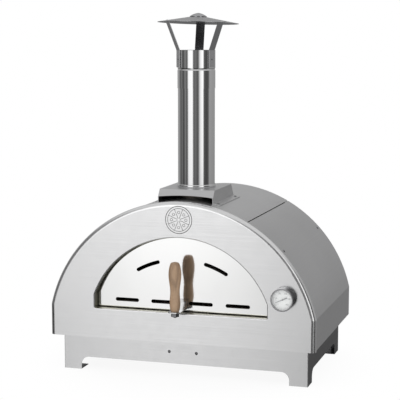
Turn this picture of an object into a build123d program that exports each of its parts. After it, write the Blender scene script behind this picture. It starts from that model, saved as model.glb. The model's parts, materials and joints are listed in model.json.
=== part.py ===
from build123d import *
import os
from math import asin, cos, degrees, radians, sin, sqrt

# Wood-fired pizza oven in folded stainless sheet, all sizes in millimetres.
# +X is to the right seen from the front, the front faces -Y, +Z is up and the feet stand on z = 0.

# ---------------------------------------------------------------- driving dimensions

# Body: an arch struck about the middle of its own bottom edge, cut off by upright sides.
body_bottom = 100
body_half_width = 367.5
body_radius = 377
body_depth = 481
handle_reach = 49
front_y = handle_reach - (body_depth + handle_reach) / 2
rear_y = front_y + body_depth
fit = 0.3
hole_length = 20
cutter_reach = 400

# Facade: one sheet rolled back round its sides and arch, folded sharp along its bottom edge and the mouth.
facade_sheet = 1.5
facade_bend = 12
facade_flange = 14
mouth_half_width = 239
mouth_radius = 256
mouth_center = 126.5
mouth_sill = 180.5
mouth_bend = 2.5
mouth_return = 4
mouth_corner = 3

# Outer shell: three thin sheets tucked behind the facade's rim.
shell_sheet = 1
shell_tuck = 2.5
shell_start = front_y + 9
seam_half_width = 180
seam_gap = 3
seam_flange = 12
shell_screw_angle = 47
shell_screw_rows = (front_y + 36, rear_y - 25)

# Fire chamber.
bulkhead_y = front_y + 45
bulkhead_flange = 25
rear_flange = 35
chamber_rear_y = front_y + 458
vault_radius = 323
vault_sheet = 2
insulation_radius = 358
tile_size = 200
tile_thickness = 30
hearth_top = 179.5
tile_joint = 0.6
tile_chamfer = 1
floor_board_gap = 8
stop_width = 8
wall_sheet = 1.5
rear_wall_sheet = 2
rear_strip_overlap = 1

# Base.
base_half_width = 341.5
base_front_y = front_y + 33
base_rear_y = front_y + 447
base_sheet = 1.5
leg_width = 50
leg_height = 35.5
leg_corner = 22
base_flange = 20
base_corner = 1.2
foot_width = 49
channel_half_width = 50
channel_height = 45
base_screw_x = 38
base_screw_z = 67.5

# Hood and flue.
flue_y = front_y + 157
hood_half_width = 76.5
hood_top = 501.5
hood_top_front = front_y + 72
hood_top_rear = front_y + 234
hood_slope = 0.75
hood_sheet = 1.5
hood_lip_z = 482.5
hood_lip_rise = 4
hood_lip_depth = 7
hood_rear_foot_z = 466
hood_flange_edge = 95
hood_front = front_y + 57
hood_screw_inset = 20
pipe_radius = 50
pipe_wall = 0.8
ring_height = 8
ring_width = 2.6
ring_flat = 1
pipe_top = 812
throat_radius = 48.2
throat_wall = 1
throat_top = 550
throat_flange = 13
throat_stub = 4
throat_shell_gap = 4
throat_insulation_gap = 15

# Flue cap, which sits a little out of level on its hand-bent straps.
collar_radius = 51.1
collar_bottom = 767.7
collar_bead_z = 818.6
collar_top = 869.4
bead_depth = 1.5
bead_half_height = 3.1
collar_rivet_z = 845
cone_radius = 108.9
cone_rim_z = 941
cone_rise = 19.2
cone_sheet = 1
cone_lift_front = 1.8
cone_drop_right = 1.1
cone_shift_right = 5
rivet_ring_radius = 89
finial_radius = 23
finial_rim = 1.6
finial_rise = 9
finial_flat = 2
strap_width = 24
strap_sheet = 1.5
strap_first_angle = -51
strap_count = 3
strap_top_radius = 80
strap_tab_end = 99
strap_tab_overlap = 4
strap_tab_cut = 40
strap_foot_gap = 5
strap_rise = 90

# Door.
door_gap = 2
door_sill_gap = 2
door_front_y = front_y + 26
door_depth = 23.5
door_sheet = 1.2
door_bend = 2
door_corner = 4
inner_panel_inset = 2
inner_panel_sheet = 1
slot_height = 10
slot_length = 66.5
slot_z = 203.8
slot_positions = (52.5, 154)
inner_slot_margin = 2
arc_slot_center = 71.5
arc_slot_radius = 248
arc_slot_start = 105.5
arc_slot_sweep = 13.9

# Handle.
grip_y = front_y - 32
grip_bottom = 192.5
grip_top = 324
grip_foot_radius = 10.2
grip_belly_radius = 14.2
grip_waist_radius = 12.4
grip_head_radius = 16.7
grip_shoulder_radius = 12.8
bracket_width = 34
bracket_sheet = 2.5
bracket_height = 24
bracket_nose = 14
bracket_corner = 9
bracket_rivet_side = 6
bracket_rivet_drop = 10
stud_radius = 4
stud_cover = 30
stud_end = 3
stud_chamfer = 0.8
washer_radius = 12
washer_thickness = 1.6
nut_radius = 11
nut_height = 9
rivet_radius = 2.4
rivet_length = 3.6

# Thermometer.
gauge_x = 283.5
gauge_z = 238.3
gauge_radius = 30
gauge_depth = 24
gauge_wall = 1
bezel_lip = 3.5
bezel_depth = 6
bezel_fit = 0.05
dial_recess = 9
dial_thickness = 0.8
lens_thickness = 1.8
gauge_stem_radius = 4
gauge_stem_length = 85
gauge_nut_radius = 8
gauge_nut_height = 5
needle_rest_angle = 205
needle_thickness = 0.6
needle_hub_radius = 2.6
needle_point_length = 21
needle_tail_length = 13
needle_gap = 1.6
needle_root_width = 2.4
needle_tip_width = 1
needle_tail_width = 3.6
spindle_radius = 0.8
spindle_end_gap = 30
stem_wall = 0.8
coil_radius = 2.2
coil_pitch = 2.5
coil_length = 20
coil_start_gap = 55
coil_wire = 0.35

screw_shank = 2
screw_head = 4.2
screw_clearance = 0.1
base_screw_length = 8
shell_screw_length = 7

os.makedirs("parts", exist_ok=True)


# ---------------------------------------------------------------- shared shapes


def upright(y):
    """Plane standing at depth y and facing the front, with local axes X and Z."""
    return Plane.XZ.offset(-y)


def arch(half_width, radius, center_z, bottom, corner=0):
    """Flat-bottomed arch: upright sides to the springing, then one arc."""
    spring = center_z + sqrt(radius**2 - half_width**2)
    with BuildSketch() as profile:
        with BuildLine():
            Polyline((-half_width, spring), (-half_width, bottom), (half_width, bottom), (half_width, spring))
            ThreePointArc((half_width, spring), (0, center_z + radius), (-half_width, spring))
        make_face()
        if corner:
            fillet(profile.vertices(), corner)
    return profile.sketch


def body_arch(inset):
    """Outline of the body, inset from the facade's rim."""
    return arch(body_half_width - inset, body_radius - inset, body_bottom, body_bottom + inset)


def mouth_arch(grow):
    """Outline of the clear mouth, grown outward."""
    return arch(
        mouth_half_width + grow, mouth_radius + grow, mouth_center, mouth_sill - grow, mouth_corner + grow
    )


def door_arch(inset):
    """Outline of the door, inset from its outer edge."""
    side = door_gap + inset
    bottom = mouth_sill + door_sill_gap + inset
    return arch(mouth_half_width - side, mouth_radius - side, mouth_center, bottom, door_corner - inset)


def vault_segment(radius, bottom):
    """Segment of a disc about the body's centre, above a level."""
    half_chord = sqrt(radius**2 - (bottom - body_bottom) ** 2)
    with BuildSketch() as profile:
        with BuildLine():
            Line((-half_chord, bottom), (half_chord, bottom))
            ThreePointArc((half_chord, bottom), (0, body_bottom + radius), (-half_chord, bottom))
        make_face()
    return profile.sketch


def slab(profile, start, end):
    """Upright profile extruded from depth start to depth end."""
    with BuildPart() as piece:
        with BuildSketch(upright(start)):
            add(profile)
        extrude(amount=start - end)
    return piece.part


def folded_pan(outline, start, end, sheet, bend):
    """Sheet pan that is open at the back, its front edge rounded by a bend."""
    with BuildPart() as pan:
        add(slab(outline(0), start, end))
        fillet(pan.faces().sort_by(Axis.Y)[0].edges(), bend)
        add(filled_hollow(outline, start, end, sheet, bend), mode=Mode.SUBTRACT)
    return pan.part


def filled_hollow(outline, start, end, sheet, bend):
    """Space inside a folded pan."""
    with BuildPart() as hollow:
        add(slab(outline(sheet), start + sheet, end + sheet))
        fillet(hollow.faces().sort_by(Axis.Y)[0].edges(), bend - sheet)
    return hollow.part


def fastener(head_radius, shank_radius, shank_length):
    """Domed screw or rivet along +Z, its head's underside at z = 0."""
    with BuildPart() as piece:
        Cylinder(shank_radius, shank_length, align=(Align.CENTER, Align.CENTER, Align.MAX))
        with BuildSketch(Plane.XZ):
            with BuildLine():
                Polyline((head_radius, 0), (0, 0), (0, head_radius / 2))
                ThreePointArc((0, head_radius / 2), (head_radius * 0.7, head_radius * 0.36), (head_radius, 0))
            make_face()
        revolve(axis=Axis.Z)
    return piece.part


def shell_point(angle, y, radius):
    """Location on the arch, its Z axis pointing outward; angle is from the top, positive to the right."""
    tilt = radians(angle)
    origin = (radius * sin(tilt), y, body_bottom + radius * cos(tilt))
    return Plane(origin=origin, x_dir=(0, 1, 0), z_dir=(sin(tilt), 0, cos(tilt))).location


def around_flue(angle, radius, z):
    """Location beside the flue, its Z axis pointing away from the flue; angle 0 is the front."""
    turn = radians(angle)
    origin = (radius * sin(turn), flue_y - radius * cos(turn), z)
    return Plane(origin=origin, x_dir=(cos(turn), sin(turn), 0), z_dir=(sin(turn), -cos(turn), 0)).location


# ---------------------------------------------------------------- base

base_screw_places = [
    Location((x, y, base_screw_z), (turn, 0, 0))
    for y, turn in ((base_front_y, 90), (base_rear_y, -90))
    for x in (-base_screw_x, base_screw_x)
]


def leg_profile(width):
    """Upright panel whose lower edge is cut away between two legs."""
    with BuildSketch() as profile:
        with Locations((0, body_bottom / 2)):
            Rectangle(width, body_bottom)
        Rectangle(width - 2 * leg_width, 2 * leg_height, mode=Mode.SUBTRACT)
        cut_corners = profile.vertices().filter_by_position(Axis.Y, leg_height - fit, leg_height + fit)
        fillet(cut_corners, leg_corner)
    return profile.sketch


def cross_panel(outer_y, inward):
    """Front or rear base panel with a top flange; inward is +1 at the front and -1 at the rear."""
    with BuildPart() as panel:
        with BuildSketch(upright(outer_y)):
            add(leg_profile(2 * base_half_width))
        extrude(amount=-inward * base_sheet)
        with Locations((0, outer_y + inward * base_flange / 2, body_bottom - base_sheet / 2)):
            Box(2 * base_half_width, base_flange, base_sheet)
        outer_edges = panel.edges().filter_by(Axis.Z).filter_by_position(Axis.Y, outer_y - fit, outer_y + fit)
        outer_edges = outer_edges.sort_by(Axis.X)
        fillet([outer_edges[0], outer_edges[-1]], base_corner)
        with Locations(*base_screw_places):
            Cylinder(screw_shank + screw_clearance, hole_length, mode=Mode.SUBTRACT)
    return panel.part


def side_panel(side):
    """Side base panel with end flanges, a top flange and inward foot flanges."""
    start = base_front_y + base_sheet
    end = base_rear_y - base_sheet
    middle = (start + end) / 2
    flange_top = body_bottom - base_sheet
    outer_x = side * base_half_width
    flange_x = outer_x - side * base_flange / 2
    with BuildPart() as panel:
        with BuildSketch(Plane.YZ.offset(outer_x)):
            with Locations((middle, 0)):
                add(leg_profile(end - start))
        extrude(amount=-side * base_sheet)
        with Locations((flange_x, start + base_sheet / 2, flange_top / 2)):
            Box(base_flange, base_sheet, flange_top)
        with Locations((flange_x, end - base_sheet / 2, flange_top / 2)):
            Box(base_flange, base_sheet, flange_top)
        for y in (start + leg_width / 2, end - leg_width / 2):
            with Locations((outer_x - side * foot_width / 2, y, base_sheet / 2)):
                Box(foot_width, leg_width, base_sheet)
        with Locations((flange_x, middle, flange_top + base_sheet / 2)):
            Box(base_flange, end - start, base_sheet)
        for y in (start, end):
            with Locations((flange_x, y, flange_top + base_sheet / 2)):
                Box(base_flange, 2 * (base_flange - base_sheet), base_sheet, mode=Mode.SUBTRACT)
    return panel.part


with BuildPart() as base_front_panel:
    add(cross_panel(base_front_y, 1))
base_front_panel.part.label = "base_front_panel"
export_step(base_front_panel.part, "parts/base_front_panel.step")

with BuildPart() as base_rear_panel:
    add(cross_panel(base_rear_y, -1))
base_rear_panel.part.label = "base_rear_panel"
export_step(base_rear_panel.part, "parts/base_rear_panel.step")

with BuildPart() as base_left_panel:
    add(side_panel(-1))
base_left_panel.part.label = "base_left_panel"
export_step(base_left_panel.part, "parts/base_left_panel.step")

with BuildPart() as base_right_panel:
    add(side_panel(1))
base_right_panel.part.label = "base_right_panel"
export_step(base_right_panel.part, "parts/base_right_panel.step")

# Channel from front to rear under the floor tray, with closed ends for the screws.
channel_top = body_bottom - base_sheet
channel_length = base_rear_y - base_front_y - 2 * base_sheet
channel_middle_y = (base_front_y + base_rear_y) / 2
with BuildPart() as base_channel:
    with Locations((0, channel_middle_y, channel_top - channel_height / 2)):
        Box(2 * channel_half_width, channel_length, channel_height)
    with Locations((0, channel_middle_y, channel_top - channel_height / 2 - base_sheet)):
        Box(
            2 * (channel_half_width - base_sheet),
            channel_length - 2 * base_sheet,
            channel_height,
            mode=Mode.SUBTRACT,
        )
    with Locations(*base_screw_places):
        Cylinder(screw_shank + screw_clearance, hole_length, mode=Mode.SUBTRACT)
base_channel.part.label = "base_channel"
export_step(base_channel.part, "parts/base_channel.step")

with BuildPart() as base_screws:
    with Locations(*base_screw_places):
        add(fastener(screw_head, screw_shank, base_screw_length))
base_screws.part.label = "base_screws"
export_step(base_screws.part, "parts/base_screws.step")

# ---------------------------------------------------------------- body

shell_outer_half_width = body_half_width - shell_tuck
shell_outer_radius = body_radius - shell_tuck
shell_inner_half_width = shell_outer_half_width - shell_sheet
shell_inner_radius = shell_outer_radius - shell_sheet

tray_start = front_y + facade_flange + fit
tray_end = rear_y - wall_sheet - fit
tray_half_width = shell_inner_half_width - fit
with BuildPart() as floor_tray:
    with Locations((0, (tray_start + tray_end) / 2, body_bottom + base_flange / 2)):
        Box(2 * tray_half_width, tray_end - tray_start, base_flange)
    with Locations((0, (tray_start + tray_end) / 2, body_bottom + base_flange / 2 + wall_sheet)):
        Box(
            2 * (tray_half_width - wall_sheet),
            tray_end - tray_start - 2 * wall_sheet,
            base_flange,
            mode=Mode.SUBTRACT,
        )
floor_tray.part.label = "floor_tray"
export_step(floor_tray.part, "parts/floor_tray.step")


def facade_form(inset, flange):
    """Solid whose front skin lies a distance behind the facade's outer surface."""
    with BuildPart() as form:
        add(slab(body_arch(inset), front_y + inset, front_y + flange))
        add(slab(mouth_arch(inset), front_y, front_y + flange), mode=Mode.SUBTRACT)
        rim = form.faces().sort_by(Axis.Y)[0].outer_wire().edges().sort_by(Axis.Z)
        fillet(rim[1:], facade_bend - inset)
        mouth_rim = form.faces().sort_by(Axis.Y)[0].inner_wires().edges()
        fillet(mouth_rim, mouth_bend - inset)
    return form.part


with BuildPart() as facade:
    add(facade_form(0, facade_flange))
    add(facade_form(facade_sheet, facade_flange + facade_sheet), mode=Mode.SUBTRACT)
    add(
        slab(mouth_arch(facade_sheet + fit), front_y + mouth_return, front_y + facade_flange + facade_sheet),
        mode=Mode.SUBTRACT,
    )
    with Locations(Location((gauge_x, front_y, gauge_z), (90, 0, 0))):
        Cylinder(gauge_stem_radius + fit, hole_length, mode=Mode.SUBTRACT)
facade.part.label = "facade"
export_step(facade.part, "parts/facade.step")

# Outer shell: slices of one arched band, with radial flanges turned in at the seams.
seam_angle = degrees(asin(seam_half_width / shell_outer_radius))
seam_half_gap = degrees(seam_gap / 2 / shell_outer_radius)
hood_rear = hood_top_rear + hood_slope * (hood_top - hood_rear_foot_z)
hood_screw_angle = degrees(asin((hood_half_width + hood_flange_edge) / 2 / shell_outer_radius))
hood_screw_places = [
    shell_point(angle, y, shell_outer_radius + fit + hood_sheet)
    for angle in (-hood_screw_angle, hood_screw_angle)
    for y in (hood_front + hood_screw_inset, hood_rear - hood_screw_inset)
]
shell_screw_places = [
    shell_point(angle, y, shell_outer_radius)
    for angle in (-shell_screw_angle, shell_screw_angle)
    for y in shell_screw_rows
]


def shell_arch(inset):
    """Outline inset from the shell's outer surface, just above the facade's bottom fold."""
    bottom = body_bottom + facade_sheet + fit
    return arch(shell_outer_half_width - inset, shell_outer_radius - inset, body_bottom, bottom)


def shell_slice(first_angle, last_angle):
    """Slice of the shell's sheet between two angles from the top."""
    far = 2 * body_radius
    first = (far * sin(radians(first_angle)), body_bottom + far * cos(radians(first_angle)))
    last = (far * sin(radians(last_angle)), body_bottom + far * cos(radians(last_angle)))
    with BuildSketch() as profile:
        with BuildLine():
            Polyline((0, body_bottom), first, last, (0, body_bottom))
        make_face()
        add(shell_arch(0), mode=Mode.INTERSECT)
        add(shell_arch(shell_sheet), mode=Mode.SUBTRACT)
    return profile.sketch


def seam_flanges(edges):
    """Radial flanges turned in at seams, each edge given as an angle and the side its sheet lies on."""
    reach = shell_outer_radius - seam_flange / 2 - shell_sheet / 4
    with BuildSketch() as profile:
        for angle, side in edges:
            x = reach * sin(radians(angle)) + side * shell_sheet / 2 * cos(radians(angle))
            z = body_bottom + reach * cos(radians(angle)) - side * shell_sheet / 2 * sin(radians(angle))
            with Locations((x, z)):
                Rectangle(shell_sheet, seam_flange, rotation=-angle)
    return profile.sketch


inner_seam = seam_angle - seam_half_gap
outer_seam = seam_angle + seam_half_gap
shell_pieces = (
    ("shell_left", shell_slice(-90, -outer_seam), seam_flanges([(-outer_seam, -1)])),
    ("shell_top", shell_slice(-inner_seam, inner_seam), seam_flanges([(-inner_seam, 1), (inner_seam, -1)])),
    ("shell_right", shell_slice(outer_seam, 90), seam_flanges([(outer_seam, 1)])),
)
for shell_name, sheet_profile, flange_profile in shell_pieces:
    with BuildPart() as shell_piece:
        add(slab(sheet_profile, shell_start, rear_y))
        add(slab(flange_profile, bulkhead_y + fit, rear_y - rear_flange - fit))
        with Locations(*shell_screw_places, *hood_screw_places):
            Cylinder(screw_shank + screw_clearance, hole_length, mode=Mode.SUBTRACT)
        with Locations((0, flue_y, hood_top)):
            Cylinder(throat_radius + throat_shell_gap, cutter_reach, mode=Mode.SUBTRACT)
    shell_piece.part.label = shell_name
    export_step(shell_piece.part, f"parts/{shell_name}.step")

with BuildPart() as shell_screws:
    with Locations(*shell_screw_places):
        add(fastener(screw_head, screw_shank, shell_screw_length))
shell_screws.part.label = "shell_screws"
export_step(shell_screws.part, "parts/shell_screws.step")


def inner_arch(inset):
    """Outline of the walls that stand inside the shell, above the floor tray."""
    bottom = body_bottom + base_flange + fit + inset
    side = shell_inner_half_width - fit - inset
    return arch(side, shell_inner_radius - fit - inset, body_bottom, bottom)


# Bulkhead behind the facade, with a rim that points forward under the shell.
with BuildPart() as front_bulkhead:
    rim_y = bulkhead_y - bulkhead_flange
    add(slab(inner_arch(0), rim_y, bulkhead_y))
    add(slab(inner_arch(wall_sheet), rim_y, bulkhead_y - wall_sheet), mode=Mode.SUBTRACT)
    add(slab(mouth_arch(rear_wall_sheet + fit), rim_y, bulkhead_y), mode=Mode.SUBTRACT)
    with Locations(Location((gauge_x, bulkhead_y, gauge_z), (90, 0, 0))):
        Cylinder(gauge_stem_radius + fit, hole_length, mode=Mode.SUBTRACT)
    with Locations(*shell_screw_places):
        Cylinder(screw_shank + screw_clearance, hole_length, mode=Mode.SUBTRACT)
front_bulkhead.part.label = "front_bulkhead"
export_step(front_bulkhead.part, "parts/front_bulkhead.step")

with BuildPart() as rear_panel:
    add(slab(inner_arch(0), rear_y - rear_flange, rear_y))
    add(slab(inner_arch(wall_sheet), rear_y - rear_flange, rear_y - wall_sheet), mode=Mode.SUBTRACT)
    with BuildSketch(upright(rear_y)):
        with Locations((0, body_bottom + base_flange / 2)):
            Rectangle(2 * (shell_inner_half_width - fit), base_flange + 2 * rear_strip_overlap)
    extrude(amount=wall_sheet)
    with Locations(*shell_screw_places):
        Cylinder(screw_shank + screw_clearance, hole_length, mode=Mode.SUBTRACT)
rear_panel.part.label = "rear_panel"
export_step(rear_panel.part, "parts/rear_panel.step")

# ---------------------------------------------------------------- fire chamber

hearth_bottom = hearth_top - tile_thickness
insulation_floor = body_bottom + wall_sheet
tile_front_y = chamber_rear_y - 2 * tile_size

# Mouth frame: a sleeve behind the facade with an inward lip that stops the door.
stop_front_y = door_front_y + door_depth + fit
stop_rear_y = stop_front_y + rear_wall_sheet
sleeve_start = front_y + mouth_return + fit
stop_opening = arch(mouth_half_width - stop_width, mouth_radius - stop_width, mouth_center, mouth_sill)
with BuildPart() as mouth_frame:
    add(slab(mouth_arch(rear_wall_sheet), sleeve_start, stop_rear_y))
    add(slab(mouth_arch(0), sleeve_start, stop_front_y), mode=Mode.SUBTRACT)
    add(slab(stop_opening, sleeve_start, stop_rear_y), mode=Mode.SUBTRACT)
mouth_frame.part.label = "mouth_frame"
export_step(mouth_frame.part, "parts/mouth_frame.step")

with BuildPart() as inner_vault:
    add(slab(vault_segment(vault_radius + vault_sheet, hearth_bottom), bulkhead_y, chamber_rear_y))
    add(slab(vault_segment(vault_radius, hearth_bottom), bulkhead_y, chamber_rear_y), mode=Mode.SUBTRACT)
    with Locations((0, flue_y, body_bottom + vault_radius)):
        Cylinder(throat_radius + fit, hole_length, mode=Mode.SUBTRACT)
inner_vault.part.label = "inner_vault"
export_step(inner_vault.part, "parts/inner_vault.step")

with BuildPart() as chamber_rear_wall:
    rear_wall_profile = vault_segment(insulation_radius, hearth_bottom)
    add(slab(rear_wall_profile, chamber_rear_y, chamber_rear_y + rear_wall_sheet))
chamber_rear_wall.part.label = "chamber_rear_wall"
export_step(chamber_rear_wall.part, "parts/chamber_rear_wall.step")

with BuildPart() as vault_insulation:
    add(slab(vault_segment(insulation_radius, hearth_bottom), bulkhead_y + fit, chamber_rear_y - fit))
    add(
        slab(vault_segment(vault_radius + vault_sheet + fit, hearth_bottom), bulkhead_y, chamber_rear_y),
        mode=Mode.SUBTRACT,
    )
    with Locations((0, flue_y, body_bottom + vault_radius)):
        Cylinder(throat_radius + throat_insulation_gap, cutter_reach / 2, mode=Mode.SUBTRACT)
vault_insulation.part.label = "vault_insulation"
export_step(vault_insulation.part, "parts/vault_insulation.step")

with BuildPart() as rear_insulation:
    add(
        slab(
            vault_segment(insulation_radius, hearth_bottom),
            chamber_rear_y + rear_wall_sheet + fit,
            rear_y - wall_sheet - fit,
        )
    )
rear_insulation.part.label = "rear_insulation"
export_step(rear_insulation.part, "parts/rear_insulation.step")

insulation_start = front_y + facade_flange + fit
with BuildPart() as front_insulation:
    front_profile = vault_segment(insulation_radius, hearth_bottom)
    add(slab(front_profile, insulation_start, bulkhead_y - wall_sheet - fit))
    add(slab(mouth_arch(rear_wall_sheet + fit), insulation_start, bulkhead_y), mode=Mode.SUBTRACT)
    with Locations(Location((gauge_x, insulation_start, gauge_z), (90, 0, 0))):
        Cylinder(gauge_stem_radius + fit, cutter_reach / 2, mode=Mode.SUBTRACT)
front_insulation.part.label = "front_insulation"
export_step(front_insulation.part, "parts/front_insulation.step")

floor_board_start = bulkhead_y + fit
floor_board_end = rear_y - rear_flange - fit
floor_board_half_width = shell_inner_half_width - floor_board_gap
floor_board_top = hearth_bottom - fit
floor_board_length = floor_board_end - floor_board_start
floor_board_middle = ((floor_board_start + floor_board_end) / 2, (insulation_floor + floor_board_top) / 2)
with BuildPart() as floor_insulation:
    with Locations((0, *floor_board_middle)):
        Box(2 * floor_board_half_width, floor_board_length, floor_board_top - insulation_floor)
floor_insulation.part.label = "floor_insulation"
export_step(floor_insulation.part, "parts/floor_insulation.step")

tile_places = GridLocations(tile_size, tile_size, 3, 2)
for tile_index, tile_place in enumerate(tile_places, start=1):
    tile_x = tile_place.position.X
    tile_y = tile_front_y + tile_size + tile_place.position.Y
    with BuildPart() as hearth_tile:
        with Locations((tile_x, tile_y - fit, hearth_top - tile_thickness / 2)):
            Box(tile_size - tile_joint, tile_size - tile_joint, tile_thickness)
        chamfer(hearth_tile.faces().sort_by(Axis.Z)[-1].edges(), tile_chamfer)
    hearth_tile.part.label = f"hearth_tile_{tile_index}"
    export_step(hearth_tile.part, f"parts/hearth_tile_{tile_index}.step")

# ---------------------------------------------------------------- hood and flue


def hood_form(inset):
    """Solid hood with sloping front and rear, inset from the hood's outer surface."""
    drop = hood_top - inset - body_bottom
    with BuildPart() as form:
        with BuildSketch(Plane.YZ):
            with BuildLine():
                Polyline(
                    (hood_top_front + inset, hood_top - inset),
                    (hood_top_front + inset - hood_slope * drop, body_bottom),
                    (hood_top_rear - inset + hood_slope * drop, body_bottom),
                    (hood_top_rear - inset, hood_top - inset),
                    close=True,
                )
            make_face()
        extrude(amount=hood_half_width - inset, both=True)
    return form.part


def body_bar(radius, start, end):
    """Solid round bar about the body's centre line."""
    with BuildPart() as bar:
        with BuildSketch(upright(start)):
            with Locations((0, body_bottom)):
                Circle(radius)
        extrude(amount=start - end)
    return bar.part


def hood_flanges():
    """Two strips that lie on the shell beside the hood."""
    with BuildPart() as strips:
        add(body_bar(shell_outer_radius + fit + hood_sheet, hood_front, hood_rear))
        with BuildSketch(Plane.XY.offset(body_bottom)):
            with Locations((0, (hood_front + hood_rear) / 2)):
                Rectangle(2 * hood_flange_edge, hood_rear - hood_front)
                Rectangle(2 * (hood_half_width - hood_sheet), hood_rear - hood_front, mode=Mode.SUBTRACT)
        extrude(amount=body_radius, mode=Mode.INTERSECT)
    return strips.part


with BuildPart() as hood_cover:
    add(hood_form(0))
    add(hood_form(hood_sheet), mode=Mode.SUBTRACT)
    with Locations((0, hood_front - cutter_reach / 2, hood_top)):
        Box(cutter_reach, cutter_reach, 2 * cutter_reach, mode=Mode.SUBTRACT)
    with BuildSketch(upright(hood_front - hood_sheet)):
        with BuildLine():
            ThreePointArc(
                (hood_sheet - hood_half_width, hood_lip_z),
                (0, hood_lip_z + hood_lip_rise),
                (hood_half_width - hood_sheet, hood_lip_z),
            )
            Polyline(
                (hood_half_width - hood_sheet, hood_lip_z),
                (hood_half_width - hood_sheet, body_bottom),
                (hood_sheet - hood_half_width, body_bottom),
                (hood_sheet - hood_half_width, hood_lip_z),
            )
        make_face()
    extrude(amount=-(hood_sheet + hood_lip_depth), mode=Mode.SUBTRACT)
    add(hood_flanges())
    add(body_bar(shell_outer_radius + fit, front_y - cutter_reach, rear_y + cutter_reach), mode=Mode.SUBTRACT)
    with Locations((0, flue_y, hood_top)):
        Cylinder(throat_radius + fit, hole_length, mode=Mode.SUBTRACT)
    with Locations(*hood_screw_places):
        Cylinder(screw_shank + screw_clearance, hole_length, mode=Mode.SUBTRACT)
hood_cover.part.label = "hood_cover"
export_step(hood_cover.part, "parts/hood_cover.step")

with BuildPart() as hood_screws:
    with Locations(*hood_screw_places):
        add(fastener(screw_head, screw_shank, shell_screw_length))
hood_screws.part.label = "hood_screws"
export_step(hood_screws.part, "parts/hood_screws.step")


def flue_revolve(points):
    """Solid turned about the flue's axis from points given as (radius, height)."""
    with BuildPart() as turned:
        with BuildSketch(Plane.XZ.offset(-flue_y)):
            with BuildLine():
                Polyline(*points, close=True)
            make_face()
        revolve(axis=Axis((0, flue_y, 0), (0, 0, 1)))
    return turned.part


throat_flange_z = body_bottom + vault_radius + vault_sheet + fit
throat_bottom = throat_flange_z - throat_stub
with BuildPart() as flue_throat:
    add(
        flue_revolve(
            [
                (throat_radius - throat_wall, throat_bottom),
                (throat_radius, throat_bottom),
                (throat_radius, throat_flange_z),
                (throat_radius + throat_flange, throat_flange_z),
                (throat_radius + throat_flange, throat_flange_z + wall_sheet),
                (throat_radius, throat_flange_z + wall_sheet),
                (throat_radius, throat_top),
                (throat_radius - throat_wall, throat_top),
            ]
        )
    )
flue_throat.part.label = "flue_throat"
export_step(flue_throat.part, "parts/flue_throat.step")

with BuildPart() as flue_ring:
    with BuildSketch(Plane.XZ.offset(-flue_y)):
        with BuildLine():
            Polyline(
                (pipe_radius + fit + ring_flat, hood_top + ring_height),
                (pipe_radius + fit, hood_top + ring_height),
                (pipe_radius + fit, hood_top),
                (pipe_radius + fit + ring_flat, hood_top),
            )
            ThreePointArc(
                (pipe_radius + fit + ring_flat, hood_top),
                (pipe_radius + fit + ring_width, hood_top + ring_height / 2),
                (pipe_radius + fit + ring_flat, hood_top + ring_height),
            )
        make_face()
    revolve(axis=Axis((0, flue_y, 0), (0, 0, 1)))
flue_ring.part.label = "flue_ring"
export_step(flue_ring.part, "parts/flue_ring.step")

pipe_bottom = hood_top + fit
with BuildPart() as flue_pipe:
    add(
        flue_revolve(
            [
                (pipe_radius - pipe_wall, pipe_bottom),
                (pipe_radius, pipe_bottom),
                (pipe_radius, pipe_top),
                (pipe_radius - pipe_wall, pipe_top),
            ]
        )
    )
flue_pipe.part.label = "flue_pipe"
export_step(flue_pipe.part, "parts/flue_pipe.step")

# ---------------------------------------------------------------- flue cap

collar_outer = [
    (collar_radius, collar_bottom),
    (collar_radius, collar_bead_z - bead_half_height),
    (collar_radius - bead_depth, collar_bead_z),
    (collar_radius, collar_bead_z + bead_half_height),
    (collar_radius, collar_top),
]
collar_inner = [(radius - pipe_wall, height) for radius, height in reversed(collar_outer)]
strap_angles = [strap_first_angle + 360 / strap_count * index for index in range(strap_count)]
collar_rivet_places = [
    around_flue(angle, collar_radius + fit + strap_sheet, collar_rivet_z) for angle in strap_angles
]

with BuildPart() as cap_collar:
    add(flue_revolve(collar_outer + collar_inner))
    with Locations(*collar_rivet_places):
        Cylinder(rivet_radius / 2 + screw_clearance, hole_length, mode=Mode.SUBTRACT)
cap_collar.part.label = "cap_collar"
export_step(cap_collar.part, "parts/cap_collar.step")

# The cone has its own frame: origin at the centre of its rim, tilted a little out of level.
cone_plane = Plane(Location((cone_shift_right, flue_y, cone_rim_z), (-cone_lift_front, cone_drop_right, 0)))
cone_slope = cone_rise / cone_radius
cone_rivet_places = []
for angle in strap_angles:
    turn = radians(angle)
    local = Plane(
        origin=(
            rivet_ring_radius * sin(turn),
            -rivet_ring_radius * cos(turn),
            cone_rise - cone_slope * rivet_ring_radius + cone_sheet,
        ),
        z_dir=(cone_slope * sin(turn), -cone_slope * cos(turn), 1),
    )
    cone_rivet_places.append(cone_plane.location * local.location)


def cone_space(drop):
    """Everything above the cone's underside, lowered by a distance."""
    with BuildPart() as space:
        with BuildSketch(Plane.XZ):
            with BuildLine():
                Polyline(
                    (0, cone_rise - drop),
                    (cone_radius, -drop),
                    (cone_radius, cutter_reach),
                    (0, cutter_reach),
                    close=True,
                )
            make_face()
        revolve(axis=Axis.Z)
    return cone_plane.location * space.part


def cone_tab(radial_plane):
    """Tab that follows the cone's underside where a strap is riveted to it."""
    tab_length = strap_tab_end - strap_top_radius + strap_tab_overlap
    with BuildPart() as tab:
        add(cone_space(strap_sheet + fit / 6))
        with BuildSketch(radial_plane):
            with Locations((strap_tab_end - tab_length / 2, cone_rim_z)):
                Rectangle(tab_length, strap_tab_cut)
        extrude(amount=strap_width / 2, both=True, mode=Mode.INTERSECT)
    return tab.part


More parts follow.
